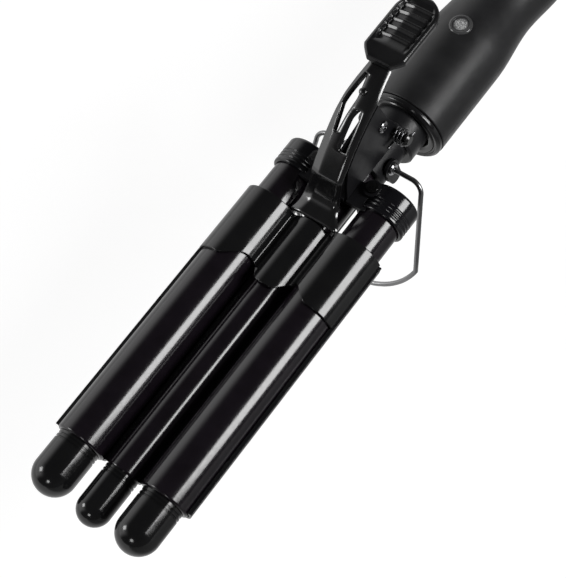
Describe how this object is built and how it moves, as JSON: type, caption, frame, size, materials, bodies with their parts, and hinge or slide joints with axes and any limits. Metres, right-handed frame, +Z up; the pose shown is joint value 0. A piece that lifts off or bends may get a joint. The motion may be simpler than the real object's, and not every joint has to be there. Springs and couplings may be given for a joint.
{
  "type": "hair waver",
  "caption": "Handheld hair waver: parallel heated barrels over a winged tray, spring clamp lever with thumb pad, wire kickstand, round grip and cord gland.",
  "frame": {"origin": "centre of the cord inlet at the rear face of the swivel gland", "axes": "+Z up, +Y from the barrel tips to the cord end along the handle's axis, +X to the right"},
  "size_m": [0.0798, 0.4085, 0.1308],
  "materials": {
    "matte_grip": "soft-touch matte black",
    "front_ring": "gloss black",
    "screw_steel": "blackened steel",
    "sleeve_plastic": "satin black",
    "bracket_steel": "satin charcoal",
    "bright_steel": "bright plated",
    "spring_steel": "drawn spring wire",
    "barrel_ceramic": "gloss ceramic coating, near black",
    "cap_plastic": "gloss black",
    "heater": "plain",
    "tray_coat": "satin black coat",
    "board": "green board",
    "lead": "red insulation",
    "bezel": "satin ring",
    "button_face": "pale speckled",
    "light_lens": "clear",
    "retainer": "moulded",
    "lever_gloss": "high gloss black",
    "pad_plastic": "semi-gloss black",
    "yoke_steel": "satin charcoal",
    "collar_plastic": "satin black",
    "saddle_coat": "gloss black",
    "wire_steel": "grey steel wire",
    "gland_rubber": "moulded black"
  },
  "bodies": {
    "handle": {"handle_upper_shell": "matte_grip", "handle_lower_shell": "matte_grip", "handle_front_ring": "front_ring", "handle_screws": "screw_steel", "neck_sleeve": "sleeve_plastic", "bracket": "bracket_steel", "hinge_pin": "screw_steel", "hinge_spring": "spring_steel", "kickstand_eyelets": "bright_steel", "middle_barrel": "barrel_ceramic", "middle_cap": "cap_plastic", "middle_heater": "heater", "wing_tray": "tray_coat", "tray_rivets": "screw_steel", "circuit_board": "board", "lead_wires": "lead", "button_bezel": "bezel", "pilot_light": "light_lens", "gland_retainer": "retainer"},
    "clamp": {"lever": "lever_gloss", "lever_rib": "lever_gloss", "lever_rivet": "screw_steel", "thumb_pad": "pad_plastic", "yoke": "yoke_steel", "hinge_plate": "bracket_steel", "hinge_plate_screw": "bright_steel", "left_collar": "collar_plastic", "right_collar": "collar_plastic", "left_barrel": "barrel_ceramic", "right_barrel": "barrel_ceramic", "left_cap": "cap_plastic", "right_cap": "cap_plastic", "left_heater": "heater", "right_heater": "heater", "saddle": "saddle_coat", "saddle_rivets": "screw_steel", "collar_screws": "screw_steel"},
    "kickstand": {"kickstand_wire": "wire_steel"},
    "button": {"power_button": "button_face"},
    "cord_swivel": {"swivel_gland": "gland_rubber"}
  },
  "joints": [
    {"name": "clamp_hinge", "type": "hinge", "parent": "handle", "child": "clamp", "pos_m": [0, -0.1775, 0.024], "axis": [-1, 0, 0], "range_deg": [0, 28], "stiffness_Nm_per_rad": 0.9, "springref_deg": -20.05, "deforming": ["hinge_spring"]},
    {"name": "kickstand_hinge", "type": "hinge", "parent": "handle", "child": "kickstand", "pos_m": [0, -0.1875, 0.009], "axis": [1, 0, 0], "range_deg": [0, 88]},
    {"name": "power_press", "type": "slide", "parent": "handle", "child": "button", "axis": [0, 0, -1], "range_m": [0, 0.0008], "stiffness_N_per_m": 600},
    {"name": "cord_swivel_turn", "type": "hinge", "parent": "handle", "child": "cord_swivel", "pos_m": [0, 0, 0], "axis": [0, 1, 0], "continuous": true}
  ]
}
